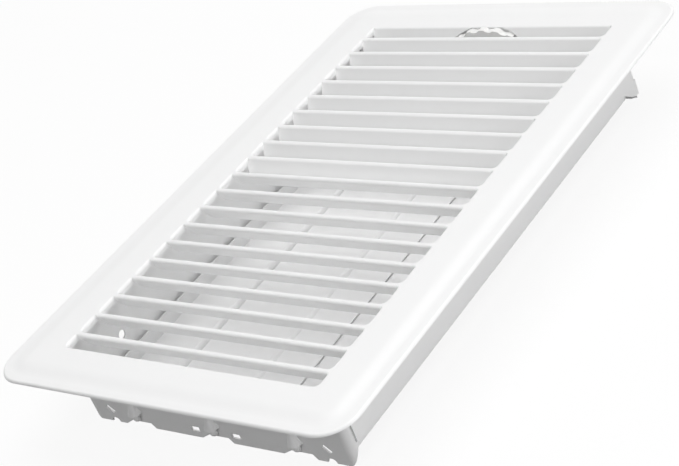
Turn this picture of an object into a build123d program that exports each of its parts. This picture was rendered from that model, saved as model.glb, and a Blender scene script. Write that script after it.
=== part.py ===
from build123d import *
from math import atan2, cos, radians, sin, tan
import os

# Floor register for a 6 by 10 inch boot: a stamped face plate with bent louvres over a damper box
# whose three opposed blades are worked by a thumbwheel. Millimetres, +Z up. The origin is at the
# middle of the plate on the floor plane, and +Y points to the thumbwheel end.

# Face plate
plate_width = 185.6
plate_length = 293.8
panel_corner_radius = 2.0
plate_sheet = 0.8
roll_radius = 1.2
rim_width = 4.0
ramp_width = 8.0
ramp_rise = 0.7
border_land = 1.0

# Louvres, counted from the thumbwheel end
slot_count = 20
slot_strip = 1.2
slot_corner_radius = 3.0
first_slot_trim = 1.8
last_slot_trim = 2.8
toward_count = 10
toward_bend_angle = 55.0
away_bend_angle = 125.0
bend_radius = 1.5
flap_trim = 5.1
flap_side_gap = 0.6
lip_drop = 1.3
lip_relief = 0.8
notch_clearance = 1.2
notch_reach = 9.0

# Damper box
box_sheet = 0.8
box_bend_inner = 0.4
end_flange_gap = 2.7
side_flange_gap = 0.5
flange_width = 7.5
slot_reach = 0.6
rail_gap = 3.2
bracket_foot_margin = 5.4
bracket_relief = 2.6
bracket_corner_radius = 4.5
bracket_flange_inset = 6.0
lap_length = 12.0
near_lap_reach = 4.6
far_lap_reach = 11.0
rail_foot_rise = 5.0
rail_end_gap = 3.5
screw_hole_radius = 2.0
screw_hole_drop = 20.0
screw_hole_inset = 31.6

# End bracket stamping, measured from each pivot, from the rails or from the foot
relief_lead = 9.0
relief_slope = 4.7
relief_tail = 6.2
relief_step = 1.8
foot_notch_inset = 13.2
foot_notch_radius = 2.2
key_slot_inset = 13.2
key_slot_rise = 6.9
key_slot_length = 4.4
key_slot_width = 1.3
key_slot_angle = 45.0
window_x = 11.0
window_rise = 4.4
window_length = 4.0
window_height = 2.0
hood_radius = 3.6
hood_tip_radius = 0.8
hood_height = 5.8
hood_gap = 0.4

# Damper blades and their rods
axis_drop = 34.1
rod_radius = 1.4
rod_head_radius = 2.0
rod_end_gap = 0.3
bearing_clearance = 0.05
bead_clearance = 0.05
blade_sheet = 0.5
blade_lift = 0.5
middle_blade_overlap = 0.7
outer_blade_overlap = 0.3
pivot_margin = 6.0
left_blade_side_gap = 1.0
right_blade_side_gap = 2.4
blade_end_gap = 3.2
left_blade_lip = 7.5
right_blade_lip = 6.2

# Thumbwheel
wheel_proud = 0.4
wheel_rim_thickness = 3.4
wheel_rim_depth = 4.0
wheel_web_thickness = 1.4
wheel_wall_gap = 0.7
wheel_lead_angle = 27.0
wheel_trail_angle = 95.0
hub_margin = 0.7
hub_wall_gap = 0.4
hub_stand = 1.0
hub_clearance = 0.02
flat_depth = 0.5
scallop_radius = 4.0
scallop_depth = 1.0
scallop_angle = 13.0

# Linkage
open_angle = 85.0
crank_radius = 3.3
crank_pin_radius = 0.9
crank_clearance = 0.3
pin_head_radius = 1.6
pin_head_height = 0.6
pin_fit = 0.02
ear_margin = 1.2
bar_sheet = 1.0
bar_gap = 0.4
bar_half_height = 3.2
bar_margin = 0.9
bar_end_margin = 2.5

# Heights, from the floor plane
panel_top = roll_radius + ramp_rise
panel_under = panel_top - plate_sheet
box_bend_top = panel_under - box_sheet - box_bend_inner
axis_z = panel_top - axis_drop
bracket_foot = axis_z - bracket_foot_margin
rail_foot = axis_z + rail_foot_rise

# Places in plan, from the plate's outline in: border, box flanges and walls, louvred field, pivots
half_width = plate_width / 2
half_length = plate_length / 2
border_depth = rim_width + ramp_width + border_land
plate_corner_radius = panel_corner_radius + border_depth
hanger_depth = rim_width + ramp_width + flange_width + box_bend_inner
wall_outer = half_length - hanger_depth - end_flange_gap
wall_inner = wall_outer - box_sheet
rail_inner = half_width - hanger_depth - side_flange_gap - box_sheet
lap_inner = rail_inner - box_sheet
rail_half_length = wall_outer - rail_end_gap
slot_field_half = wall_inner + slot_reach
slot_half_width = rail_inner - rail_gap
slot_pitch = (2 * slot_field_half + first_slot_trim + last_slot_trim + slot_strip) / slot_count
slot_opening = slot_pitch - slot_strip
flap_length = slot_opening - flap_trim
flap_half_width = slot_half_width - bend_radius - flap_side_gap
pivot_spacing = 2 * (lap_inner - pivot_margin) / 3
pivot_x = [-pivot_spacing, 0.0, pivot_spacing]

# Stack at the thumbwheel end, from the end wall inwards
rim_far = wall_inner - wheel_wall_gap
rim_near = rim_far - wheel_rim_thickness
hub_far = wall_inner - hub_wall_gap
hub_near = rim_near - hub_stand
bar_far = hub_near - bar_gap
bar_near = bar_far - bar_sheet
blade_far = bar_near - bar_gap
blade_near = -wall_inner + blade_end_gap

# Crank geometry with the damper shut
crank_lead = open_angle / 2
crank_x = -crank_radius * sin(radians(crank_lead))
crank_z = crank_radius * cos(radians(crank_lead))
bar_travel = -2 * crank_x

bead_inner = rod_radius + bead_clearance
bead_outer = bead_inner + blade_sheet
wheel_radius = axis_drop + wheel_proud
hub_radius = crank_radius + crank_pin_radius + hub_margin

os.makedirs("parts", exist_ok=True)


def border_face(roll):
    """One face of the border sheet, from the floor edge in to the flat panel."""
    edge_roll = CenterArc((half_width - roll_radius, 0), roll, 0, 90)
    rim = Line(edge_roll @ 1, (half_width - rim_width, roll))
    ramp_mid = (half_width - rim_width - ramp_width / 2, roll + ramp_rise / 2)
    ramp_head = (half_width - rim_width - ramp_width, roll + ramp_rise)
    TangentArc(rim @ 1, ramp_mid, tangent=(-1, 0))
    TangentArc(ramp_mid, ramp_head, tangent=(1, 0), tangent_from_first=False)
    Line(ramp_head, (half_width - border_depth, roll + ramp_rise))


def flap_section(bend):
    """Cross-section of one louvre, from its bend line at the panel's top face."""
    outer_bend = CenterArc((0, -bend_radius), bend_radius, 90, bend)
    inner_bend = CenterArc((0, -bend_radius), bend_radius - plate_sheet, 90, bend)
    outer_run = PolarLine(outer_bend @ 1, flap_length, direction=outer_bend % 1)
    inner_run = PolarLine(inner_bend @ 1, flap_length, direction=inner_bend % 1)
    Line(outer_bend @ 0, inner_bend @ 0)
    Line(outer_run @ 1, inner_run @ 1)


def lip_section():
    """Cross-section of the lip turned down at the right end of a slot."""
    bend_z = panel_top - bend_radius
    lip_foot = bend_z - lip_drop
    outer_face = slot_half_width - bend_radius
    inner_face = outer_face + plate_sheet
    outer_bend = CenterArc((slot_half_width, bend_z), bend_radius, 90, 90)
    Polyline(
        outer_bend @ 1,
        (outer_face, lip_foot),
        (inner_face, lip_foot),
        (inner_face, panel_under),
        (slot_half_width, panel_under),
        outer_bend @ 0,
    )


# Border of the face plate, carried round the rounded outline
with BuildLine() as rim_path:
    side = Line((half_width, 0), (half_width, half_length - plate_corner_radius))
    straight_runs = [
        plate_width - 2 * plate_corner_radius,
        plate_length - 2 * plate_corner_radius,
        plate_width - 2 * plate_corner_radius,
        half_length - plate_corner_radius,
    ]
    for run in straight_runs:
        corner = JernArc(side @ 1, side % 1, plate_corner_radius, 90)
        side = PolarLine(corner @ 1, run, direction=corner % 1)

with BuildSketch(Plane.XZ) as border_section:
    with BuildLine():
        border_face(roll_radius)
        border_face(roll_radius - plate_sheet)
        Line((half_width, 0), (half_width - plate_sheet, 0))
        Line((half_width - border_depth, panel_top), (half_width - border_depth, panel_under))
    make_face()

# Louvres that lean toward the near end, and louvres bent back past upright
with BuildPart() as toward_flap:
    with BuildSketch(Plane.YZ):
        with BuildLine():
            flap_section(toward_bend_angle)
        make_face()
    extrude(amount=flap_half_width, both=True)
    free_corners = toward_flap.edges().filter_by(lambda edge: edge.length < bend_radius)
    fillet(free_corners.sort_by(Axis.Z)[:2], slot_corner_radius)

with BuildPart() as away_flap:
    with BuildSketch(Plane.YZ):
        with BuildLine():
            flap_section(away_bend_angle)
        make_face()
    extrude(amount=flap_half_width, both=True)
    free_corners = away_flap.edges().filter_by(lambda edge: edge.length < bend_radius)
    fillet(free_corners.sort_by(Axis.Z)[:2], slot_corner_radius)

# The first and last slots are trimmed to the field
row_start = slot_field_half + first_slot_trim
bend_lines = [min(row_start - index * slot_pitch, slot_field_half) for index in range(slot_count)]
slot_ends = [
    max(row_start - index * slot_pitch - slot_opening, -slot_field_half) for index in range(slot_count)
]

# Lips turned down at both ends of every slot
with BuildPart() as slot_lips:
    for bend_line, slot_end in zip(bend_lines, slot_ends):
        with BuildSketch(Plane.XZ.offset(lip_relief - bend_line)):
            with BuildLine():
                lip_section()
            make_face()
            mirror(about=Plane.YZ)
        extrude(amount=bend_line - lip_relief - slot_end - slot_corner_radius)

with BuildPart() as face_plate:
    sweep(sections=border_section.sketch, path=rim_path.line)
    with BuildSketch(Plane.XY.offset(panel_under)):
        RectangleRounded(
            plate_width - 2 * border_depth,
            plate_length - 2 * border_depth,
            plate_corner_radius - border_depth,
        )
    extrude(amount=plate_sheet)
    with BuildSketch(Plane.XY.offset(panel_under)) as slots:
        for bend_line, slot_end in zip(bend_lines, slot_ends):
            with Locations((0, bend_line)):
                Rectangle(2 * slot_half_width, bend_line - slot_end, align=(Align.CENTER, Align.MAX))
        near_corners = [
            corner
            for corner in slots.vertices()
            if min(abs(corner.Y - slot_end) for slot_end in slot_ends) < flap_side_gap
        ]
        fillet(near_corners, slot_corner_radius)
    extrude(amount=plate_sheet, mode=Mode.SUBTRACT)
    with Locations(*[(0, bend_line, panel_top) for bend_line in bend_lines[:toward_count]]):
        add(toward_flap.part)
    with Locations(*[(0, bend_line, panel_top) for bend_line in bend_lines[toward_count:]]):
        add(away_flap.part)
    add(slot_lips.part)
    with BuildSketch(Plane.XZ.offset(-slot_field_half)):
        with Locations((0, axis_z)):
            Circle(wheel_radius + notch_clearance)
    extrude(amount=notch_reach, mode=Mode.SUBTRACT)
face_plate.part.label = "face_plate"
export_step(face_plate.part, "parts/face_plate.step")


def hanger_section(inner_face, foot):
    """Section of a box wall that turns out at its top into a flange under the plate."""
    bend_x = inner_face + box_sheet + box_bend_inner
    flange_edge = bend_x + flange_width
    outer_bend = CenterArc((bend_x, box_bend_top), box_sheet + box_bend_inner, 180, -90)
    inner_bend = CenterArc((bend_x, box_bend_top), box_bend_inner, 180, -90)
    Line((inner_face, foot), outer_bend @ 0)
    Line((inner_face + box_sheet, foot), inner_bend @ 0)
    Line((inner_face, foot), (inner_face + box_sheet, foot))
    Line(outer_bend @ 1, (flange_edge, panel_under))
    Line(inner_bend @ 1, (flange_edge, panel_under - box_sheet))
    Line((flange_edge, panel_under), (flange_edge, panel_under - box_sheet))


def end_bracket(lap_reach):
    """End wall of the box at the near end: bearings, stamped foot, laps behind the side rails."""
    hood_mouth = axis_z + rod_head_radius + hood_gap
    hood_top = hood_mouth + hood_height
    hood_slope = atan2(hood_radius - hood_tip_radius, hood_height)
    pocket_radius = hood_radius - box_sheet / cos(hood_slope)
    pocket_top = hood_mouth + (pocket_radius - hood_tip_radius) / tan(hood_slope)
    notch_x = rail_inner - foot_notch_inset
    key_slot_x = rail_inner - key_slot_inset
    key_slot_z = bracket_foot + key_slot_rise
    window_z = bracket_foot + window_rise
    with BuildPart() as bracket:
        with BuildSketch(Plane.XY.offset(bracket_foot)):
            with Locations((0, lap_length - wall_outer)):
                RectangleRounded(2 * rail_inner, 2 * lap_length, bracket_corner_radius)
                RectangleRounded(
                    2 * lap_inner,
                    2 * (lap_length - box_sheet),
                    bracket_corner_radius - box_sheet,
                    mode=Mode.SUBTRACT,
                )
                Rectangle(
                    2 * rail_inner,
                    lap_length,
                    align=(Align.CENTER, Align.MIN),
                    mode=Mode.SUBTRACT,
                )
        extrude(amount=box_bend_top - bracket_foot)
        with BuildSketch(Plane(origin=(0, 0, 0), x_dir=(0, -1, 0), z_dir=(-1, 0, 0))):
            with BuildLine():
                hanger_section(wall_inner, box_bend_top - box_sheet)
            make_face()
        extrude(amount=slot_half_width - bracket_flange_inset, both=True)
        with BuildSketch(Plane.XZ.offset(wall_inner)):
            with Locations(*[(pivot, axis_z) for pivot in pivot_x]):
                Circle(rod_radius + bearing_clearance)
            with Locations(*[(pivot, bracket_foot) for pivot in pivot_x]):
                Polygon(
                    (-relief_lead, 0),
                    (relief_tail + relief_step, 0),
                    (relief_tail, bracket_relief),
                    (relief_slope - relief_lead, bracket_relief),
                    align=None,
                )
            with Locations((-notch_x, bracket_foot), (notch_x, bracket_foot)):
                Circle(foot_notch_radius)
            with Locations((-key_slot_x, key_slot_z), (key_slot_x, key_slot_z)):
                SlotOverall(key_slot_length, key_slot_width, rotation=-key_slot_angle)
            with Locations((-window_x, window_z), (window_x, window_z)):
                Rectangle(window_length, window_height)
        extrude(amount=box_sheet, mode=Mode.SUBTRACT)
        with BuildSketch(Plane.YZ.offset(rail_inner - bracket_corner_radius)):
            Polygon(
                (-wall_outer, bracket_foot),
                (lap_reach - wall_outer, rail_foot),
                (lap_length - wall_outer, rail_foot),
                (lap_length - wall_outer, bracket_foot),
                align=None,
            )
        lap_trim = extrude(amount=bracket_corner_radius, mode=Mode.SUBTRACT)
        mirror(lap_trim, about=Plane.YZ, mode=Mode.SUBTRACT)
        for pivot in pivot_x:
            hood_axis = Axis((pivot, -wall_outer, 0), (0, 0, -1))
            with BuildSketch(Plane.XZ.offset(wall_outer)):
                Polygon(
                    (pivot, hood_mouth),
                    (pivot + hood_radius, hood_mouth),
                    (pivot + hood_tip_radius, hood_top),
                    (pivot, hood_top),
                    align=None,
                )
            revolve(axis=hood_axis, revolution_arc=180)
            with BuildSketch(Plane.XZ.offset(wall_outer)):
                Polygon(
                    (pivot, hood_mouth),
                    (pivot + pocket_radius, hood_mouth),
                    (pivot + hood_tip_radius, pocket_top),
                    (pivot, pocket_top),
                    align=None,
                )
            revolve(axis=hood_axis, mode=Mode.SUBTRACT)
    return bracket.part


near_end_bracket = end_bracket(near_lap_reach)
near_end_bracket.label = "near_end_bracket"
export_step(near_end_bracket, "parts/near_end_bracket.step")

# The same stamping turned end for end, with longer laps
far_end_bracket = end_bracket(far_lap_reach).rotate(Axis.Z, 180)
far_end_bracket.label = "far_end_bracket"
export_step(far_end_bracket, "parts/far_end_bracket.step")

with BuildPart() as right_side_rail:
    with BuildSketch(Plane.XZ):
        with BuildLine():
            hanger_section(rail_inner, rail_foot)
        make_face()
    extrude(amount=rail_half_length, both=True)
    hole_y = wall_outer - screw_hole_inset
    with BuildSketch(Plane.YZ.offset(rail_inner)):
        with Locations((-hole_y, panel_top - screw_hole_drop), (hole_y, panel_top - screw_hole_drop)):
            Circle(screw_hole_radius)
    extrude(amount=box_sheet, mode=Mode.SUBTRACT)
right_side_rail.part.label = "right_side_rail"
export_step(right_side_rail.part, "parts/right_side_rail.step")

with BuildPart() as left_side_rail:
    mirror(right_side_rail.part, about=Plane.YZ)
left_side_rail.part.label = "left_side_rail"
export_step(left_side_rail.part, "parts/left_side_rail.step")

# Blade edges from the pivots: the middle blade laps over both neighbours
middle_half = pivot_spacing / 2 + middle_blade_overlap
outer_inner_half = pivot_spacing / 2 + outer_blade_overlap
blade_length = blade_far - blade_near


def blade_section(low_x, high_x, plate_middle):
    """Blade sheet with the bead that wraps its rod, about the rod's axis."""
    plate_under = plate_middle - blade_sheet / 2
    with Locations((low_x, plate_under)):
        Rectangle(high_x - low_x, blade_sheet, align=(Align.MIN, Align.MIN))
    Circle(bead_outer)
    Circle(bead_inner, mode=Mode.SUBTRACT)
    with Locations((0, plate_under)):
        Rectangle(2 * bead_outer, 2 * bead_outer, align=(Align.CENTER, Align.MAX), mode=Mode.SUBTRACT)


def end_plane(pivot, y):
    """Upright plane across the blades at a pivot, with its normal toward the near end."""
    return Plane(origin=(pivot, y, axis_z), x_dir=(1, 0, 0), z_dir=(0, -1, 0))


with BuildPart() as middle_blade:
    with BuildSketch(end_plane(0, blade_far)):
        blade_section(-middle_half, middle_half, blade_lift)
    extrude(amount=blade_length)
middle_blade.part.label = "middle_blade"
export_step(middle_blade.part, "parts/middle_blade.step")


def outer_blade(side, side_gap, lip):
    """Blade beside a rail: raised outer lip, and a crank ear turned down at the thumbwheel end."""
    pivot = side * pivot_spacing
    outer_reach = lap_inner - side_gap - pivot_spacing
    reach = sorted([side * outer_reach, -side * outer_inner_half])
    plate_under = -blade_lift - blade_sheet / 2
    ear_radius = crank_pin_radius + ear_margin
    ear_height = crank_z + plate_under + blade_sheet
    with BuildPart() as blade:
        with BuildSketch(end_plane(pivot, blade_far)):
            blade_section(reach[0], reach[1], -blade_lift)
            with Locations((side * (outer_reach - blade_sheet / 2), plate_under)):
                Rectangle(blade_sheet, lip, align=(Align.CENTER, Align.MIN))
        extrude(amount=blade_length)
        with BuildSketch(end_plane(pivot, blade_far)):
            with Locations((crank_x, -crank_z)):
                Rectangle(2 * ear_radius, ear_height, align=(Align.CENTER, Align.MIN))
                Circle(ear_radius)
                Circle(crank_pin_radius + pin_fit, mode=Mode.SUBTRACT)
            Circle(bead_inner + blade_sheet / 2, mode=Mode.SUBTRACT)
        extrude(amount=blade_sheet)
    return blade.part


left_blade = outer_blade(-1, left_blade_side_gap, left_blade_lip)
left_blade.label = "left_blade"
export_step(left_blade, "parts/left_blade.step")
right_blade = outer_blade(1, right_blade_side_gap, right_blade_lip)
right_blade.label = "right_blade"
export_step(right_blade, "parts/right_blade.step")

rod_half_length = wall_outer + rod_end_gap


def pivot_rod(pivot, flat_start):
    """Wire rod with a domed head at each end, and a flat from flat_start to the far end."""
    with BuildPart() as rod:
        with BuildSketch(end_plane(pivot, rod_half_length)):
            Circle(rod_radius)
        extrude(amount=2 * rod_half_length)
        if flat_start < rod_half_length:
            with Locations((pivot, flat_start, axis_z + rod_radius - flat_depth)):
                Box(
                    2 * rod_radius,
                    rod_half_length - flat_start,
                    flat_depth,
                    align=(Align.CENTER, Align.MIN, Align.MIN),
                    mode=Mode.SUBTRACT,
                )
        near_end = Location((pivot, -rod_half_length, axis_z), (90, 0, 0))
        far_end = Location((pivot, rod_half_length, axis_z), (-90, 0, 0))
        with Locations(near_end, far_end):
            Sphere(rod_head_radius, arc_size1=0, align=(Align.CENTER, Align.CENTER, Align.MIN))
    return rod.part


left_pivot_rod = pivot_rod(-pivot_spacing, rod_half_length)
left_pivot_rod.label = "left_pivot_rod"
export_step(left_pivot_rod, "parts/left_pivot_rod.step")
middle_pivot_rod = pivot_rod(0, hub_near)
middle_pivot_rod.label = "middle_pivot_rod"
export_step(middle_pivot_rod, "parts/middle_pivot_rod.step")
right_pivot_rod = pivot_rod(pivot_spacing, rod_half_length)
right_pivot_rod.label = "right_pivot_rod"
export_step(right_pivot_rod, "parts/right_pivot_rod.step")


def wheel_sector(radius):
    """Outline of a pie slice about the wheel's axis, with the damper shut."""
    outer_arc = CenterArc((0, 0), radius, sector_start, sector_sweep)
    Line((0, 0), outer_arc @ 0)
    Line((0, 0), outer_arc @ 1)


# Sector wheel on the middle rod, leaning to the left with the damper shut
sector_start = 90 - wheel_lead_angle
sector_sweep = wheel_lead_angle + wheel_trail_angle
web_near = (rim_near + rim_far - wheel_web_thickness) / 2
with BuildPart() as thumbwheel:
    with BuildSketch(end_plane(0, rim_far)):
        with BuildLine():
            wheel_sector(wheel_radius)
        make_face()
        Circle(wheel_radius - wheel_rim_depth, mode=Mode.SUBTRACT)
    extrude(amount=wheel_rim_thickness)
    with BuildSketch(end_plane(0, web_near + wheel_web_thickness)):
        with BuildLine():
            wheel_sector(wheel_radius - wheel_rim_depth / 2)
        make_face()
    extrude(amount=wheel_web_thickness)
    with BuildSketch(end_plane(0, hub_far)):
        Circle(hub_radius)
    extrude(amount=hub_far - hub_near)
    with BuildSketch(end_plane(0, hub_near)):
        with Locations((crank_x, crank_z)):
            Circle(crank_pin_radius)
    extrude(amount=hub_near - bar_near + bar_gap / 2)
    with BuildSketch(end_plane(0, hub_far)):
        Circle(rod_radius + hub_clearance)
        with Locations((0, rod_radius - flat_depth + hub_clearance)):
            Rectangle(2 * hub_radius, hub_radius, align=(Align.CENTER, Align.MIN), mode=Mode.SUBTRACT)
    extrude(amount=hub_far - hub_near, mode=Mode.SUBTRACT)
    with BuildSketch(end_plane(0, rim_far)):
        scallop_count = int(sector_sweep / scallop_angle)
        scallop_first = sector_start + (sector_sweep - (scallop_count - 1) * scallop_angle) / 2
        with PolarLocations(
            wheel_radius - scallop_depth + scallop_radius,
            scallop_count,
            scallop_first,
            scallop_angle * scallop_count,
        ):
            Circle(scallop_radius)
    extrude(amount=wheel_rim_thickness, mode=Mode.SUBTRACT)
thumbwheel.part.label = "thumbwheel"
export_step(thumbwheel.part, "parts/thumbwheel.step")

# Sliding strip: the middle stud works above the axis and the outer pins below it
pin_slot_top = crank_radius + crank_pin_radius + crank_clearance
pin_slot_foot = crank_z - crank_pin_radius - crank_clearance
pin_slot_half_width = crank_pin_radius + crank_clearance
rod_slot_half_height = rod_radius + crank_clearance
rod_slot_length = bar_travel + 2 * rod_slot_half_height
with BuildPart() as tie_bar:
    with BuildSketch(end_plane(0, bar_far)):
        strip_start = -pivot_spacing - bar_travel - rod_slot_half_height - bar_end_margin
        strip_end = pivot_spacing + rod_slot_half_height + bar_end_margin
        with Locations((strip_start, 0)):
            Rectangle(strip_end - strip_start, 2 * bar_half_height, align=(Align.MIN, Align.CENTER))
        for pivot in pivot_x:
            drop = 1 if pivot == 0 else -1
            tongue_half = pin_slot_half_width + 2 * bar_margin
            with Locations((pivot + crank_x, drop * (pin_slot_top + bar_margin) / 2)):
                Rectangle(2 * tongue_half, pin_slot_top + bar_margin)
            with Locations((pivot + crank_x, drop * (pin_slot_top + pin_slot_foot) / 2)):
                Rectangle(2 * pin_slot_half_width, pin_slot_top - pin_slot_foot, mode=Mode.SUBTRACT)
            with Locations((pivot - bar_travel / 2, 0)):
                SlotOverall(rod_slot_length, 2 * rod_slot_half_height, mode=Mode.SUBTRACT)
    extrude(amount=bar_sheet)
tie_bar.part.label = "tie_bar"
export_step(tie_bar.part, "parts/tie_bar.step")


def crank_pin(pivot):
    """Riveted pin from a blade's ear through the tie bar."""
    ear_near = blade_far - blade_sheet
    with BuildPart() as pin:
        with BuildSketch(end_plane(pivot, bar_far + bar_gap / 2)):
            with Locations((crank_x, -crank_z)):
                Circle(crank_pin_radius)
        extrude(amount=bar_far + bar_gap / 2 - ear_near)
        with BuildSketch(end_plane(pivot, ear_near)):
            with Locations((crank_x, -crank_z)):
                Circle(pin_head_radius)
        extrude(amount=pin_head_height)
    return pin.part


left_crank_pin = crank_pin(-pivot_spacing)
left_crank_pin.label = "left_crank_pin"
export_step(left_crank_pin, "parts/left_crank_pin.step")
right_crank_pin = crank_pin(pivot_spacing)
right_crank_pin.label = "right_crank_pin"
export_step(right_crank_pin, "parts/right_crank_pin.step")
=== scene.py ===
import logging
import math
from collections.abc import Sequence
from dataclasses import dataclass
from enum import Enum

import bmesh
import bpy
from mathutils import Euler, Matrix, Vector
from mathutils.geometry import delaunay_2d_cdt


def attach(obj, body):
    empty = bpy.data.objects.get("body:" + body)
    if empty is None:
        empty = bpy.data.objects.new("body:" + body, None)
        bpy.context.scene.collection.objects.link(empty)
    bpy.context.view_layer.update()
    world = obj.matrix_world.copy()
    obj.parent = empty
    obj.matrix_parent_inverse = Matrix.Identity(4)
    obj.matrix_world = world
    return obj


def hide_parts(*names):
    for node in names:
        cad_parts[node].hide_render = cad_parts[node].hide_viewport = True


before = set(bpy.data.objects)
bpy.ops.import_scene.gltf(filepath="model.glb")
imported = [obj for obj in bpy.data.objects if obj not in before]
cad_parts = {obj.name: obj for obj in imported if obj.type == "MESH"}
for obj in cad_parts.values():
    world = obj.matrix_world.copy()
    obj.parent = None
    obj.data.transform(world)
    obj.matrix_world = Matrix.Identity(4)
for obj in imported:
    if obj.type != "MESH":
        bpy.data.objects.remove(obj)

log = logging.getLogger("floor_register")

MM = 0.001

Colour = tuple[float, float, float, float]
Place = tuple[float, float, float]


def quarter_turn(steps: int) -> list[float]:
    """Angles of a quarter turn in equal steps, from nothing to a right angle."""
    return [math.pi / 2 * step / steps for step in range(steps + 1)]


def join_rings(bm: bmesh.types.BMesh, rings: Sequence[Sequence[bmesh.types.BMVert]]) -> None:
    """Join closed rings of points one after the other with quads.

    Args:
        bm: the mesh in work.
        rings: the rings, all with the same number of points.
    """
    for first, second in zip(rings, rings[1:]):
        for i in range(len(first)):
            j = (i + 1) % len(first)
            bm.faces.new((first[i], second[i], second[j], first[j]))


def plain_mesh(bm: bmesh.types.BMesh, name: str) -> bpy.types.Mesh:
    """Close a mesh in work.

    Args:
        bm: the mesh in work, which is freed.
        name: the finished mesh's name.

    Returns:
        The finished mesh.
    """
    mesh = bpy.data.meshes.new(name)
    bm.to_mesh(mesh)
    bm.free()
    return mesh


class Body(Enum):
    """Moving bodies of the register, by their names in the record."""

    FRAME_BOX = "frame_box"
    MIDDLE_DAMPER = "middle_damper"
    LEFT_DAMPER = "left_damper"
    RIGHT_DAMPER = "right_damper"
    TIE_LINK = "tie_link"


class Slot(Enum):
    """Material slots of the record."""

    POWDER_COAT = "powder_coat"
    WHEEL_PLASTIC = "wheel_plastic"
    PLATED_STEEL = "plated_steel"


class NodeBoard:
    """A node tree with short calls that add and wire its nodes."""

    MIX_LOW: int = 6
    MIX_HIGH: int = 7
    MIX_COLOUR: int = 2

    def __init__(self, tree: bpy.types.NodeTree) -> None:
        """Take over a tree and empty it."""
        self.tree = tree
        tree.nodes.clear()

    def add(
        self, kind: str, inputs: dict[str | int, object] | None = None, **settings: object
    ) -> bpy.types.Node:
        """Add one node.

        Args:
            kind: Blender's identifier of the node type.
            inputs: values or output sockets for the node's inputs, by name or number.
            settings: properties of the node itself.

        Returns:
            The new node.
        """
        node = self.tree.nodes.new(kind)
        for key, value in settings.items():
            setattr(node, key, value)
        for key, value in (inputs or {}).items():
            if isinstance(value, bpy.types.NodeSocket):
                self.tree.links.new(value, node.inputs[key])
            else:
                node.inputs[key].default_value = value
        return node

    def math(self, operation: str, first: object, second: object = 0.0) -> bpy.types.NodeSocket:
        """Add a Math node and return its output."""
        return self.add("ShaderNodeMath", {0: first, 1: second}, operation=operation).outputs[0]

    def vector(self, x: object = 0.0, y: object = 0.0, z: object = 0.0) -> bpy.types.NodeSocket:
        """Add a Combine XYZ node and return its output."""
        return self.add("ShaderNodeCombineXYZ", {0: x, 1: y, 2: z}).outputs[0]

    def noise(self, place: object, scale: float, detail: float, roughness: float) -> bpy.types.NodeSocket:
        """Add a noise texture and return its value."""
        settings = {"Vector": place, "Scale": scale, "Detail": detail, "Roughness": roughness}
        return self.add("ShaderNodeTexNoise", settings).outputs[0]

    def blend(self, factor: object, low: Colour, high: Colour) -> bpy.types.NodeSocket:
        """Mix two colours by a factor and return the colour."""
        inputs = {0: factor, self.MIX_LOW: low, self.MIX_HIGH: high}
        return self.add("ShaderNodeMix", inputs, data_type="RGBA").outputs[self.MIX_COLOUR]

    def between(self, value: object, low: float, high: float) -> bpy.types.NodeSocket:
        """Map a value from 0 to 1 onto a range and return it."""
        return self.add("ShaderNodeMapRange", {"Value": value, "To Min": low, "To Max": high}).outputs[0]

    def bump(self, height: object, depth: float) -> bpy.types.NodeSocket:
        """Add a Bump node of full strength and return its normal."""
        settings = {"Height": height, "Distance": depth, "Strength": 1.0}
        return self.add("ShaderNodeBump", settings).outputs[0]


class Finish:
    """A surface finish that can be made into a material."""

    def material(self) -> bpy.types.Material:
        """Build the finish's material."""
        raise NotImplementedError

    @staticmethod
    def start(name: str) -> tuple[bpy.types.Material, NodeBoard, bpy.types.NodeSocket]:
        """Begin a material.

        Args:
            name: the material's name.

        Returns:
            The material, its emptied node board and the Object coordinates.
        """
        material = bpy.data.materials.new(name)
        material.use_nodes = True
        board = NodeBoard(material.node_tree)
        return material, board, board.add("ShaderNodeTexCoord").outputs["Object"]


@dataclass(frozen=True)
class PowderCoat(Finish):
    """Satin powder coat: a fine orange peel over a faint drift of colour and gloss."""

    tint: Colour = (0.93, 0.93, 0.928, 1)
    shade: Colour = (0.905, 0.906, 0.908, 1)
    gloss: tuple[float, float] = (0.36, 0.46)
    peel_per_metre: float = 900.0
    peel_depth: float = 0.000005
    drift_per_metre: float = 22.0

    def material(self) -> bpy.types.Material:
        """Build the coat's material.

        Returns:
            The material.
        """
        material, board, place = self.start("white_powder_coat")
        peel = board.noise(place, self.peel_per_metre, detail=2.0, roughness=0.45)
        drift = board.noise(place, self.drift_per_metre, detail=4.0, roughness=0.6)
        coat = board.add(
            "ShaderNodeBsdfPrincipled",
            {
                "Base Color": board.blend(drift, self.shade, self.tint),
                "Roughness": board.between(drift, *self.gloss),
                "Normal": board.bump(peel, self.peel_depth),
            },
        )
        board.add("ShaderNodeOutputMaterial", {"Surface": coat.outputs[0]})
        return material


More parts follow.
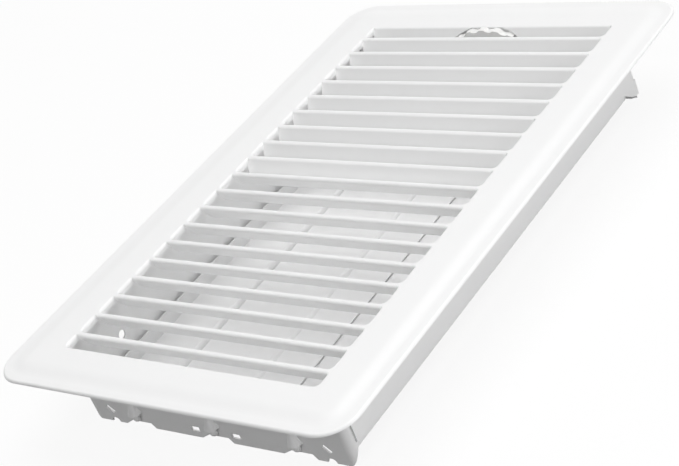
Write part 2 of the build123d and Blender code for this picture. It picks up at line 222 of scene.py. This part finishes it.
@dataclass(frozen=True)
class MouldedPlastic(Finish):
    """White moulded plastic with a spark-eroded grain and soft flow marks."""

    tint: Colour = (0.9, 0.9, 0.89, 1)
    shade: Colour = (0.87, 0.868, 0.855, 1)
    gloss: tuple[float, float] = (0.42, 0.55)
    grain_per_metre: float = 2600.0
    grain_depth: float = 0.00001
    flow_per_metre: float = 60.0
    glow_through: float = 0.05
    glow_depth: Place = (0.001, 0.0009, 0.0008)

    def material(self) -> bpy.types.Material:
        """Build the plastic's material.

        Returns:
            The material.
        """
        material, board, place = self.start("white_moulded_plastic")
        grain = board.noise(place, self.grain_per_metre, detail=3.0, roughness=0.6)
        flow = board.noise(place, self.flow_per_metre, detail=3.0, roughness=0.5)
        plastic = board.add(
            "ShaderNodeBsdfPrincipled",
            {
                "Base Color": board.blend(flow, self.shade, self.tint),
                "Roughness": board.between(grain, *self.gloss),
                "Normal": board.bump(grain, self.grain_depth),
                "Subsurface Weight": self.glow_through,
                "Subsurface Radius": self.glow_depth,
            },
        )
        board.add("ShaderNodeOutputMaterial", {"Surface": plastic.outputs[0]})
        return material


@dataclass(frozen=True)
class ZincPlate(Finish):
    """Dull zinc plate: small crystal patches with rolling marks along the strip."""

    tint: Colour = (0.68, 0.69, 0.7, 1)
    shade: Colour = (0.56, 0.57, 0.585, 1)
    gloss: tuple[float, float] = (0.32, 0.5)
    crystals_per_metre: float = 420.0
    marks_per_metre: float = 1500.0
    marks_depth: float = 0.00001
    marks_stretch: Place = (0.06, 1.0, 1.0)

    def material(self) -> bpy.types.Material:
        """Build the plate's material.

        Returns:
            The material.
        """
        material, board, place = self.start("dull_zinc_plate")
        crystals = board.add("ShaderNodeTexVoronoi", {"Vector": place, "Scale": self.crystals_per_metre})
        patch = board.add("ShaderNodeSeparateColor", {0: crystals.outputs["Color"]}).outputs[0]
        along = board.add("ShaderNodeMapping", {"Vector": place, "Scale": self.marks_stretch}).outputs[0]
        marks = board.noise(along, self.marks_per_metre, detail=3.0, roughness=0.6)
        plate = board.add(
            "ShaderNodeBsdfPrincipled",
            {
                "Base Color": board.blend(patch, self.shade, self.tint),
                "Metallic": 1.0,
                "Roughness": board.between(marks, *self.gloss),
                "Normal": board.bump(marks, self.marks_depth),
            },
        )
        board.add("ShaderNodeOutputMaterial", {"Surface": plate.outputs[0]})
        return material


class Workshop:
    """Finishes by slot, and the steps that every piece goes through, in millimetres and degrees."""

    WELD: float = 0.002
    FLAT_ANGLE: float = 0.5
    EDGE_ANGLE: float = 40.0
    EDGE_SEGMENTS: int = 2

    def __init__(self, finishes: dict[Slot, Finish]) -> None:
        """Make each slot's material."""
        self.materials = {slot: finish.material() for slot, finish in finishes.items()}

    def hold(self, mesh: bpy.types.Mesh) -> bpy.types.Object:
        """Put a mesh on an object of its own.

        Args:
            mesh: the mesh, in place.

        Returns:
            The object, linked to the scene.
        """
        holder = bpy.data.objects.new(mesh.name, mesh)
        bpy.context.scene.collection.objects.link(holder)
        return holder

    def bake(
        self, holder: bpy.types.Object, name: str, cutter: bpy.types.Object | None = None
    ) -> bpy.types.Mesh:
        """Turn a holder and its modifiers into a plain mesh.

        Args:
            holder: the throwaway object, which is removed.
            name: the new mesh's name.
            cutter: the cutter that the holder's modifiers use, if any, which is removed too.

        Returns:
            The finished mesh.
        """
        graph = bpy.context.evaluated_depsgraph_get()
        mesh = bpy.data.meshes.new_from_object(holder.evaluated_get(graph), depsgraph=graph)
        bpy.data.objects.remove(holder)
        if cutter:
            bpy.data.objects.remove(cutter)
        mesh.name = name
        return mesh

    def finish_edges(
        self, holder: bpy.types.Object, edge: float, angle: float, cutter: bpy.types.Object | None = None
    ) -> None:
        """Give a holder the modifiers that cut its openings and round its edges.

        Args:
            holder: the throwaway object.
            edge: the edge radius in millimetres.
            angle: the angle in degrees above which an edge is rounded.
            cutter: what is cut out first, if anything.
        """
        if cutter:
            holder.modifiers.new("openings", "BOOLEAN").object = cutter
        bevel = holder.modifiers.new("edges", "BEVEL")
        bevel.width = edge * MM
        bevel.segments = self.EDGE_SEGMENTS
        bevel.angle_limit = math.radians(angle)

    def settle(
        self,
        mesh: bpy.types.Mesh,
        body: Body,
        slot: Slot,
        stands_for: Sequence[str] = (),
        crease: float = 38.0,
    ) -> bpy.types.Object:
        """Make a mesh a finished piece of the register.

        Args:
            mesh: the piece's mesh, in place.
            body: the body that carries it.
            slot: its material slot.
            stands_for: the solids that it replaces.
            crease: the angle in degrees above which an edge stays sharp.

        Returns:
            The piece.
        """
        mesh.shade_smooth()
        mesh.set_sharp_from_angle(angle=math.radians(crease))
        holder = self.hold(mesh)
        holder.modifiers.new("flat_faces", "WEIGHTED_NORMAL").keep_sharp = True
        piece = self.hold(self.bake(holder, mesh.name))
        piece.name = piece.data.name = mesh.name
        piece.data.materials.clear()
        piece.data.materials.append(self.materials[slot])
        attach(piece, body.value)
        if stands_for:
            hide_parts(*stands_for)
        log.info("%s: %d faces on %s", piece.name, len(piece.data.polygons), body.value)
        return piece

    def soften(
        self, node: str, body: Body, slot: Slot, edge: float, cutter: bpy.types.Object | None = None
    ) -> bpy.types.Object:
        """Copy a solid with its sheared or moulded edges rounded off.

        Args:
            node: the solid's name.
            body: the body that carries it.
            slot: its material slot.
            edge: the edge radius in millimetres.
            cutter: what is cut out of the copy, if anything.

        Returns:
            The piece that stands for the solid.
        """
        bm = bmesh.new()
        bm.from_mesh(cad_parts[node].data)
        bmesh.ops.remove_doubles(bm, verts=bm.verts, dist=self.WELD * MM)
        flat = math.radians(self.FLAT_ANGLE)
        bmesh.ops.dissolve_limit(bm, angle_limit=flat, verts=bm.verts, edges=bm.edges)
        holder = self.hold(plain_mesh(bm, node + "_soft"))
        self.finish_edges(holder, edge, self.EDGE_ANGLE, cutter)
        return self.settle(self.bake(holder, node + "_sheet", cutter), body, slot, [node])


class LouvreTree:
    """Geometry Nodes tree that bends one louvre out of a flat grid and repeats it along the field."""

    INPUTS: dict[str, str] = {
        "Count": "NodeSocketInt",
        "Pitch": "NodeSocketFloat",
        "Half Width": "NodeSocketFloat",
        "Bend": "NodeSocketFloat",
        "Bend Radius": "NodeSocketFloat",
        "Run": "NodeSocketFloat",
        "Corner": "NodeSocketFloat",
        "First Bend": "NodeSocketFloat",
        "Top": "NodeSocketFloat",
        "Finish": "NodeSocketMaterial",
    }

    def __init__(self, rows: int, columns: int) -> None:
        """Build the tree.

        Args:
            rows: points of the grid from the bend to the free edge.
            columns: points of the grid across the slot.
        """
        self.tree = bpy.data.node_groups.new("louvre_bank", "GeometryNodeTree")
        board = NodeBoard(self.tree)
        self.sockets = {
            name: self.tree.interface.new_socket(name, in_out="INPUT", socket_type=kind).identifier
            for name, kind in self.INPUTS.items()
        }
        self.tree.interface.new_socket("Louvres", in_out="OUTPUT", socket_type="NodeSocketGeometry")
        sizes = board.add("NodeGroupInput").outputs
        blank = board.add(
            "GeometryNodeMeshGrid",
            {"Size X": 2.0, "Size Y": 1.0, "Vertices X": columns, "Vertices Y": rows},
        )
        louvre = board.add(
            "GeometryNodeSetPosition",
            {"Geometry": blank.outputs[0], "Position": self.bend(board, sizes)},
        )
        turned = board.add("GeometryNodeFlipFaces", {"Mesh": louvre.outputs[0]})
        row = board.add(
            "GeometryNodeMeshLine",
            {
                "Count": sizes["Count"],
                "Start Location": board.vector(0.0, sizes["First Bend"], sizes["Top"]),
                "Offset": board.vector(0.0, board.math("MULTIPLY", sizes["Pitch"], -1.0), 0.0),
            },
        )
        bank = board.add(
            "GeometryNodeInstanceOnPoints",
            {"Points": row.outputs[0], "Instance": turned.outputs[0]},
        )
        real = board.add("GeometryNodeRealizeInstances", {"Geometry": bank.outputs[0]})
        dressed = board.add(
            "GeometryNodeSetMaterial",
            {"Geometry": real.outputs[0], "Material": sizes["Finish"]},
        )
        board.add("NodeGroupOutput", {0: dressed.outputs[0]})

    def bend(self, board: NodeBoard, sizes: bpy.types.NodeOutputs) -> bpy.types.NodeSocket:
        """Wire the place of each grid point on the bent louvre.

        Args:
            board: the tree's board.
            sizes: the group's inputs.

        Returns:
            The position socket: round the bend first, then straight on, with rounded free corners.
        """
        spot = board.add("GeometryNodeInputPosition").outputs[0]
        flat = board.add("ShaderNodeSeparateXYZ", {0: spot}).outputs
        radius = sizes["Bend Radius"]
        corner = sizes["Corner"]
        arc = board.math("MULTIPLY", sizes["Bend"], radius)
        whole = board.math("ADD", arc, sizes["Run"])
        way = board.math("MULTIPLY", board.math("ADD", flat[1], 0.5), whole)
        turn = board.math("DIVIDE", board.math("MINIMUM", way, arc), radius)
        past = board.math("MAXIMUM", board.math("SUBTRACT", way, arc), 0.0)
        sine = board.math("SINE", turn)
        cosine = board.math("COSINE", turn)
        forth = board.math("ADD", board.math("MULTIPLY", radius, sine), board.math("MULTIPLY", past, cosine))
        rise = board.math("MULTIPLY", radius, board.math("SUBTRACT", 1.0, cosine))
        down = board.math("ADD", rise, board.math("MULTIPLY", past, sine))
        corner_start = board.math("SUBTRACT", whole, corner)
        into = board.math("MAXIMUM", board.math("SUBTRACT", way, corner_start), 0.0)
        square = board.math("SUBTRACT", board.math("POWER", corner, 2.0), board.math("POWER", into, 2.0))
        side = board.math("SQRT", board.math("MAXIMUM", square, 0.0))
        half = board.math("ADD", board.math("SUBTRACT", sizes["Half Width"], corner), side)
        return board.vector(
            board.math("MULTIPLY", flat[0], half),
            board.math("MULTIPLY", forth, -1.0),
            board.math("MULTIPLY", down, -1.0),
        )


@dataclass(frozen=True)
class SlotPoint:
    """A point of a slot's outline: its place, the way into the slot, and how far the lip is turned down."""

    x: float
    y: float
    into_x: float
    into_y: float
    lip: float


@dataclass(frozen=True)
class LouvreBank:
    """A run of equal louvres: its name, its first slot, how many slots it has, and their bend."""

    name: str
    first: int
    count: int
    bend: float
    radius: float


@dataclass(frozen=True)
class FacePlate:
    """Stamped face plate: ramped border, panel with lipped slots, and two banks of louvres."""

    width: float = 185.6
    length: float = 293.8
    corner: float = 15.0
    corner_steps: int = 12
    sheet: float = 0.8
    roll: float = 1.2
    roll_steps: int = 6
    rim: float = 4.0
    ramp: float = 8.0
    ramp_steps: int = 12
    rise: float = 0.7
    land: float = 1.0
    crease: float = 30.0
    weld: float = 0.0005
    fill_tolerance: float = 0.00001
    slot_half: float = 68.4
    field_half: float = 124.1
    pitch: float = 12.7
    strip: float = 1.2
    first_trim: float = 1.8
    slots: int = 20
    toward: int = 10
    slot_corner: float = 3.0
    slot_corner_steps: int = 10
    far_corner: float = 2.0
    far_corner_steps: int = 8
    lip_drop: float = 1.3
    lip_fade: float = 1.5
    edge: float = 0.15
    edge_angle: float = 50.0
    toward_bend: float = 55.0
    away_bend: float = 117.0
    bend_radius: float = 1.5
    away_radius: float = 1.0
    run: float = 6.4
    flap_half: float = 66.95
    flap_rows: int = 34
    flap_columns: int = 9
    notch_axis: float = -32.2
    notch_shift: float = 0.35
    notch_radius: float = 34.95
    notch_start: float = 0.8
    notch_reach: float = 9.0
    notch_steps: int = 144

    @property
    def top(self) -> float:
        """Height of the panel's top face."""
        return self.roll + self.rise

    def bend_line(self, index: int) -> float:
        """Place along the field of a slot's bend, counted from the thumbwheel end."""
        return min(self.field_half + self.first_trim - index * self.pitch, self.field_half)

    def slot_end(self, index: int) -> float:
        """Place along the field of a slot's sheared edge."""
        opening = self.pitch - self.strip
        return max(self.field_half + self.first_trim - index * self.pitch - opening, -self.field_half)

    def border(self, under: bool) -> list[tuple[float, float]]:
        """Inset and height of the border's section, from the floor edge in.

        Args:
            under: whether the lower face is asked for.

        Returns:
            The section's points.
        """
        radius = self.roll - (self.sheet if under else 0.0)
        points = [
            (self.roll - radius * math.cos(angle), radius * math.sin(angle))
            for angle in quarter_turn(self.roll_steps)
        ]
        for step in range(self.ramp_steps + 1):
            share = step / self.ramp_steps
            lift = self.rise * (1 - math.cos(math.pi * share)) / 2
            points.append((self.rim + self.ramp * share, radius + lift))
        points.append((self.rim + self.ramp + self.land, radius + self.rise))
        return points

    def ring(self, bm: bmesh.types.BMesh, inset: float, height: float) -> list[bmesh.types.BMVert]:
        """Add a rounded rectangle of points.

        Args:
            bm: the mesh in work.
            inset: distance in from the plate's outline.
            height: height above the floor.

        Returns:
            The points, anticlockwise from above.
        """
        radius = self.corner - inset
        across = self.width / 2 - self.corner
        along = self.length / 2 - self.corner
        corners = [(across, along), (-across, along), (-across, -along), (across, -along)]
        points = []
        for quarter, (x, y) in enumerate(corners):
            for angle in quarter_turn(self.corner_steps):
                turn = math.pi / 2 * quarter + angle
                place = (x + radius * math.cos(turn), y + radius * math.sin(turn), height)
                points.append(bm.verts.new(Vector(place) * MM))
        return points

    def left_corner(self, end: float, radius: float, way: int, angles: Sequence[float]) -> list[SlotPoint]:
        """Round one left corner of a slot.

        Args:
            end: place along the field of that end of the slot.
            radius: the corner's radius.
            way: 1 where the slot goes on towards the thumbwheel from that end, and -1 where it goes away.
            angles: the angles of the corner's points, in order.

        Returns:
            The corner's points. The lip fades out towards the end.
        """
        return [
            SlotPoint(
                radius * (1 - math.cos(angle)) - self.slot_half,
                end + way * radius * (1 - math.sin(angle)),
                math.cos(angle),
                way * math.sin(angle),
                math.cos(angle) ** self.lip_fade,
            )
            for angle in angles
        ]

    def outline(self, index: int) -> list[SlotPoint]:
        """Outline of one slot on the flat panel, anticlockwise from its far left corner.

        Args:
            index: the slot's number from the thumbwheel end.

        Returns:
            The outline's points.
        """
        far = self.bend_line(index) + self.edge
        near = self.slot_end(index) - self.edge
        far_angles = quarter_turn(self.far_corner_steps)[::-1]
        near_angles = quarter_turn(self.slot_corner_steps)
        left = self.left_corner(far, self.far_corner, -1, far_angles)
        left.append(SlotPoint(-self.slot_half, near + 2 * self.slot_corner, 1, 0, 1))
        left += self.left_corner(near, self.slot_corner, 1, near_angles)
        right = [SlotPoint(-point.x, point.y, -point.into_x, point.into_y, point.lip) for point in left[::-1]]
        return left + right

    def slot_rings(self, bm: bmesh.types.BMesh, index: int) -> list[list[bmesh.types.BMVert]]:
        """Add the rings of points that roll a slot's edge over and down.

        Args:
            bm: the mesh in work.
            index: the slot's number.

        Returns:
            The rings, from the panel's top face to its lower face.
        """
        under = self.top - self.sheet
        sections = []
        for point in self.outline(index):
            radius = self.edge + (self.bend_radius - self.edge) * point.lip
            foot = under - (self.bend_radius + self.lip_drop - self.sheet) * point.lip
            back = radius - self.sheet * point.lip
            section = [
                (radius * math.sin(angle), self.top - radius * (1 - math.cos(angle)))
                for angle in quarter_turn(self.roll_steps)
            ]
            section += [(radius, foot), (back, foot), (back, under)]
            sections.append(
                [
                    (point.x + point.into_x * inward, point.y + point.into_y * inward, height)
                    for inward, height in section
                ]
            )
        return [[bm.verts.new(Vector(place) * MM) for place in ring] for ring in zip(*sections)]

    def fill(self, bm: bmesh.types.BMesh, rings: Sequence[Sequence[bmesh.types.BMVert]], up: bool) -> None:
        """Fill between an outer ring and the rings of its holes.

        Args:
            bm: the mesh in work.
            rings: the outer ring and the hole rings.
            up: whether the face looks up.
        """
        verts = [vert for ring in rings for vert in ring]
        flat = [vert.co.xy / MM for vert in verts]
        loops = []
        for ring in rings:
            start = sum(len(loop) for loop in loops)
            loops.append(list(range(start, start + len(ring))))
        edges = [(i, (i + 1) % len(loops[0])) for i in loops[0]]
        inside_only = 1
        _, _, faces, sources, _, holes = delaunay_2d_cdt(
            flat, edges, loops[1:], inside_only, self.fill_tolerance
        )
        for face, hole in zip(faces, holes):
            corners = [verts[sources[i][0]] for i in face]
            if not hole:
                bm.faces.new(corners if up else corners[::-1])

    def panel(self) -> bpy.types.Mesh:
        """Build the border and the slotted panel as one sheet.

        Returns:
            The sheet's mesh.
        """
        bm = bmesh.new()
        section = self.border(False)[::-1] + self.border(True)
        rings = [self.ring(bm, inset, height) for inset, height in section]
        join_rings(bm, rings)
        slots = [self.slot_rings(bm, index) for index in range(self.slots)]
        for slot in slots:
            join_rings(bm, slot[::-1])
        self.fill(bm, [rings[0], *[slot[0] for slot in slots]], True)
        self.fill(bm, [rings[-1], *[slot[-1] for slot in slots]], False)
        bmesh.ops.remove_doubles(bm, verts=bm.verts, dist=self.weld * MM)
        return plain_mesh(bm, "face_panel")

    def louvres(self, shop: Workshop, tree: LouvreTree, bank: LouvreBank) -> bpy.types.Mesh:
        """Build a bank of louvres.

        Args:
            shop: the workshop.
            tree: the louvre tree.
            bank: the bank.

        Returns:
            The bank's mesh. The first slot's louvre is notched for the thumbwheel.
        """
        holder = shop.hold(bpy.data.meshes.new(bank.name))
        grow = holder.modifiers.new("louvres", "NODES")
        grow.node_group = tree.tree
        sizes = {
            "Count": bank.count,
            "Pitch": self.pitch * MM,
            "Half Width": self.flap_half * MM,
            "Bend": math.radians(bank.bend),
            "Bend Radius": bank.radius * MM,
            "Run": self.run * MM,
            "Corner": self.slot_corner * MM,
            "First Bend": self.bend_line(bank.first) * MM,
            "Top": self.top * MM,
            "Finish": shop.materials[Slot.POWDER_COAT],
        }
        for size, value in sizes.items():
            grow[tree.sockets[size]] = value
        thicken = holder.modifiers.new("sheet", "SOLIDIFY")
        thicken.thickness = self.sheet * MM
        thicken.offset = -1.0
        cutter = self.notch_cutter(shop) if bank.first == 0 else None
        shop.finish_edges(holder, self.edge, self.edge_angle, cutter)
        return shop.bake(holder, bank.name, cutter)

    def notch_cutter(self, shop: Workshop) -> bpy.types.Object:
        """Make the drum that cuts the thumbwheel's arch out of the first louvre.

        Args:
            shop: the workshop.

        Returns:
            The cutter.
        """
        bm = bmesh.new()
        along = self.field_half - self.notch_start - self.notch_reach / 2
        middle = Vector((self.notch_shift, along, self.notch_axis)) * MM
        bmesh.ops.create_cone(
            bm,
            cap_ends=True,
            segments=self.notch_steps,
            radius1=self.notch_radius * MM,
            radius2=self.notch_radius * MM,
            depth=self.notch_reach * MM,
            matrix=Matrix.Translation(middle) @ Matrix.Rotation(math.pi / 2, 4, "X"),
        )
        return shop.hold(plain_mesh(bm, "notch_cutter"))

    def build(self, shop: Workshop) -> None:
        """Build and dress the plate.

        Args:
            shop: the workshop.
        """
        shop.settle(self.panel(), Body.FRAME_BOX, Slot.POWDER_COAT, ["face_plate"], self.crease)
        tree = LouvreTree(self.flap_rows, self.flap_columns)
        away = self.slots - self.toward
        banks = [
            LouvreBank("notched_louvre", 0, 1, self.toward_bend, self.bend_radius),
            LouvreBank("toward_louvres", 1, self.toward - 1, self.toward_bend, self.bend_radius),
            LouvreBank("away_louvres", self.toward, away, self.away_bend, self.away_radius),
        ]
        for bank in banks:
            shop.settle(self.louvres(shop, tree, bank), Body.FRAME_BOX, Slot.POWDER_COAT)


@dataclass(frozen=True)
class Opening:
    """A cut in a bracket's wall: its place from the middle and the foot, its size and its slant."""

    out: float
    up: float
    width: float
    height: float
    slant: float


@dataclass(frozen=True)
class DamperBox:
    """Folded box under the plate: two end brackets with pierced walls, and two side rails."""

    edge: float = 0.18
    wall: float = 123.9
    foot: float = -37.6
    pierce_depth: float = 2.0
    openings: tuple[Opening, ...] = (
        Opening(out=58.4, up=6.9, width=4.4, height=2.0, slant=45.0),
        Opening(out=11.0, up=4.4, width=4.6, height=2.5, slant=0.0),
    )
    tongue_across: tuple[float, float] = (70.85, 71.55)
    tongue_outline: tuple[tuple[float, float], ...] = (
        (112.5, -26.5),
        (111.0, -27.7),
        (117.0, -32.1),
        (119.9, -33.6),
        (123.3, -34.2),
        (123.3, -26.5),
    )

    def pierce(self, shop: Workshop, end: int) -> bpy.types.Object:
        """Make the cutter for a bracket's slanted key slots and windows.

        Args:
            shop: the workshop.
            end: 1 for the thumbwheel end and -1 for the near end.

        Returns:
            The cutter.
        """
        bm = bmesh.new()
        for side in (-1, 1):
            for opening in self.openings:
                place = Vector((side * opening.out, end * self.wall, self.foot + opening.up)) * MM
                turn = Matrix.Rotation(math.radians(-end * opening.slant), 4, "Y")
                size = Vector((opening.width, self.pierce_depth, opening.height)) * MM
                scale = Matrix.Diagonal((*size, 1))
                bmesh.ops.create_cube(bm, size=1.0, matrix=Matrix.Translation(place) @ turn @ scale)
        return shop.hold(plain_mesh(bm, "bracket_openings"))

    def tongue(self, side: int) -> bpy.types.Mesh:
        """Build the tongue that ends a far lap, below the rail.

        Args:
            side: 1 for the right side and -1 for the left.

        Returns:
            The tongue's mesh.
        """
        bm = bmesh.new()
        rings = [
            [bm.verts.new(Vector((side * across, along, up)) * MM) for along, up in self.tongue_outline]
            for across in self.tongue_across
        ]
        join_rings(bm, rings)
        for ring in rings:
            bm.faces.new(ring)
        bmesh.ops.recalc_face_normals(bm, faces=bm.faces)
        return plain_mesh(bm, "right_lap_tongue" if side > 0 else "left_lap_tongue")

    def build(self, shop: Workshop) -> None:
        """Build the tongues, and soften and dress the walls.

        Args:
            shop: the workshop.
        """
        for side in (-1, 1):
            shop.settle(self.tongue(side), Body.FRAME_BOX, Slot.POWDER_COAT)
        for node, end in (("near_end_bracket", -1), ("far_end_bracket", 1)):
            shop.soften(node, Body.FRAME_BOX, Slot.POWDER_COAT, self.edge, self.pierce(shop, end))
        for node in ("left_side_rail", "right_side_rail"):
            shop.soften(node, Body.FRAME_BOX, Slot.POWDER_COAT, self.edge)


@dataclass(frozen=True)
class Dampers:
    """Three opposed blades on their rods."""

    blade_edge: float = 0.12
    rod_edge: float = 0.1

    def build(self, shop: Workshop) -> None:
        """Soften and dress the blades and rods.

        Args:
            shop: the workshop.
        """
        bodies = {"left": Body.LEFT_DAMPER, "middle": Body.MIDDLE_DAMPER, "right": Body.RIGHT_DAMPER}
        for side, body in bodies.items():
            shop.soften(side + "_blade", body, Slot.POWDER_COAT, self.blade_edge)
            shop.soften(side + "_pivot_rod", body, Slot.POWDER_COAT, self.rod_edge)


@dataclass(frozen=True)
class Linkage:
    """Thumbwheel, tie bar and crank pins that work the blades."""

    wheel_edge: float = 0.3
    bar_edge: float = 0.1
    pin_edge: float = 0.15

    def build(self, shop: Workshop) -> None:
        """Soften and dress the wheel and the metal parts.

        Args:
            shop: the workshop.
        """
        shop.soften("thumbwheel", Body.MIDDLE_DAMPER, Slot.WHEEL_PLASTIC, self.wheel_edge)
        shop.soften("tie_bar", Body.TIE_LINK, Slot.PLATED_STEEL, self.bar_edge)
        shop.soften("left_crank_pin", Body.LEFT_DAMPER, Slot.PLATED_STEEL, self.pin_edge)
        shop.soften("right_crank_pin", Body.RIGHT_DAMPER, Slot.PLATED_STEEL, self.pin_edge)


@dataclass(frozen=True)
class PhotoCamera:
    """Camera at the photograph's viewing place, with its turn in degrees."""

    place: Place = (0.455246, -0.455692, 0.356941)
    turn: Place = (57.506, 19.5793, 34.1008)
    lens: float = 90.3424
    sensor: float = 36.0

    def build(self) -> None:
        """Make the camera and give it to the scene."""
        data = bpy.data.cameras.new("photo_camera")
        data.lens = self.lens
        data.sensor_width = self.sensor
        camera = bpy.data.objects.new("photo_camera", data)
        camera.location = self.place
        camera.rotation_euler = Euler([math.radians(angle) for angle in self.turn])
        bpy.context.scene.collection.objects.link(camera)
        bpy.context.scene.camera = camera


@dataclass(frozen=True)
class Lamp:
    """A broad square lamp aimed at the register."""

    name: str
    place: Place
    watts: float
    size: float = 1.2

    def build(self) -> None:
        """Make the lamp."""
        data = bpy.data.lights.new(self.name, "AREA")
        data.energy = self.watts
        data.size = self.size
        lamp = bpy.data.objects.new(self.name, data)
        lamp.location = self.place
        lamp.rotation_mode = "QUATERNION"
        lamp.rotation_quaternion = Vector(self.place).to_track_quat("Z", "Y")
        bpy.context.scene.collection.objects.link(lamp)


@dataclass(frozen=True)
class Studio:
    """White ground under two broad lamps, with a low card on the right and a faint dome at the far end."""

    lamps: tuple[Lamp, ...] = (
        Lamp("overhead", (0.0, 0.4, 1.25), 12.2),
        Lamp("near_fill", (0.2, -1.0, 1.0), 8.5),
        Lamp("right_card", (0.9, 0.0, 0.02), 5.2, 0.4),
    )
    white: Colour = (1, 1, 1, 1)
    far_dome: float = 0.7
    floor_height: float = -37.6 * MM
    floor_half: float = 4.0
    floor_white: float = 0.9
    floor_seen: Colour = (0.98, 0.98, 0.98, 1)
    floor_bounce: Colour = (0.3, 0.3, 0.3, 1)

    def build(self) -> None:
        """Set up the view, the dome, the lamps and the floor."""
        scene = bpy.context.scene
        scene.view_settings.view_transform = "Standard"
        scene.world = bpy.data.worlds.new("white_dome")
        self.build_dome(scene.world)
        for lamp in self.lamps:
            lamp.build()
        self.build_floor()

    @staticmethod
    def seen(board: NodeBoard) -> bpy.types.NodeSocket:
        """Wire a value that is 1 where the ground is looked at, straight or in a reflection.

        Args:
            board: the tree's board.

        Returns:
            The value's socket.
        """
        path = board.add("ShaderNodeLightPath").outputs
        mirrored = board.math("MAXIMUM", path["Is Glossy Ray"], path["Is Transmission Ray"])
        return board.math("MAXIMUM", path["Is Camera Ray"], mirrored)

    def build_dome(self, world: bpy.types.World) -> None:
        """Light the world from the far end, and show it white.

        Args:
            world: the scene's world.
        """
        world.use_nodes = True
        board = NodeBoard(world.node_tree)
        way = board.add("ShaderNodeTexCoord").outputs["Generated"]
        along = board.add("ShaderNodeSeparateXYZ", {0: way}).outputs[1]
        strength = board.math("MULTIPLY", board.math("MAXIMUM", along, 0.0), self.far_dome)
        glow = board.add("ShaderNodeBackground", {"Color": self.white, "Strength": strength})
        plain = board.add("ShaderNodeBackground", {"Color": self.white, "Strength": 1.0})
        mix = board.add("ShaderNodeMixShader", {0: self.seen(board), 1: glow.outputs[0], 2: plain.outputs[0]})
        board.add("ShaderNodeOutputWorld", {"Surface": mix.outputs[0]})

    def build_floor(self) -> None:
        """Make the white floor, which keeps the register's faint shadow."""
        half = self.floor_half
        bm = bmesh.new()
        corners = [(-half, -half), (half, -half), (half, half), (-half, half)]
        bm.faces.new([bm.verts.new((x, y, self.floor_height)) for x, y in corners])
        mesh = plain_mesh(bm, "floor")
        floor = bpy.data.objects.new("floor", mesh)
        bpy.context.scene.collection.objects.link(floor)
        material = bpy.data.materials.new("floor_white")
        material.use_nodes = True
        board = NodeBoard(material.node_tree)
        seen = self.seen(board)
        tone = board.blend(seen, self.floor_bounce, self.floor_seen)
        ground = board.add("ShaderNodeBsdfDiffuse", {"Color": tone})
        plain = board.add("ShaderNodeEmission", {"Color": self.white, "Strength": 1.0})
        share = board.math("MULTIPLY", seen, self.floor_white)
        mix = board.add("ShaderNodeMixShader", {0: share, 1: ground.outputs[0], 2: plain.outputs[0]})
        board.add("ShaderNodeOutputMaterial", {"Surface": mix.outputs[0]})
        mesh.materials.append(material)


def main() -> None:
    """Build the register's looks, one sub-assembly after the other."""
    logging.basicConfig(level=logging.INFO, format="%(name)s: %(message)s")
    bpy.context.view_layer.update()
    shop = Workshop(
        {
            Slot.POWDER_COAT: PowderCoat(),
            Slot.WHEEL_PLASTIC: MouldedPlastic(),
            Slot.PLATED_STEEL: ZincPlate(),
        }
    )
    FacePlate().build(shop)
    DamperBox().build(shop)
    Dampers().build(shop)
    Linkage().build(shop)
    PhotoCamera().build()
    Studio().build()


if __name__ == "__main__":
    main()
